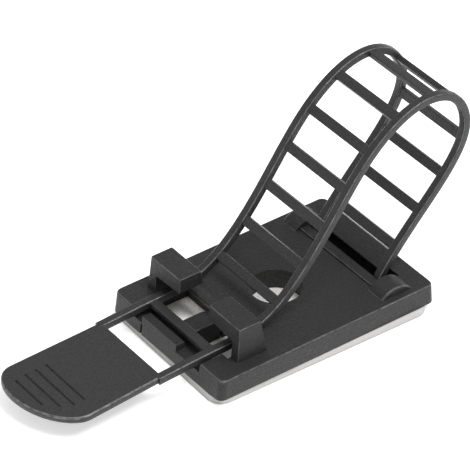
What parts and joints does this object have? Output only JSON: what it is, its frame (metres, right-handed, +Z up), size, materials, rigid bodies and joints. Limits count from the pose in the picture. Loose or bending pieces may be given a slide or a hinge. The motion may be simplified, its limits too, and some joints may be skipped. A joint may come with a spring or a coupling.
{
  "type": "adhesive cable clip",
  "caption": "Adhesive cable clip: a flat moulded base with hooks and a pawl, and a ladder strap hinged at its rear that loops over, passes under the hooks and latches, ending in a pull tab.",
  "frame": {"origin": "middle of the clip's underside, on the release liner's lower face", "axes": "+X along the base from the pull tab to the hinge, +Y across it, +Z up from the surface that the clip is stuck to"},
  "size_m": [0.0739, 0.0272, 0.0333],
  "materials": {
    "base_nylon": "fine matte moulded nylon",
    "strap_nylon": "satin moulded nylon",
    "foam": "closed-cell foam tape",
    "liner": "smooth release film"
  },
  "bodies": {
    "root": {"clip_base": "base_nylon", "ladder_strap": "strap_nylon", "foam_pad": "foam", "release_liner": "liner"}
  },
  "joints": []
}
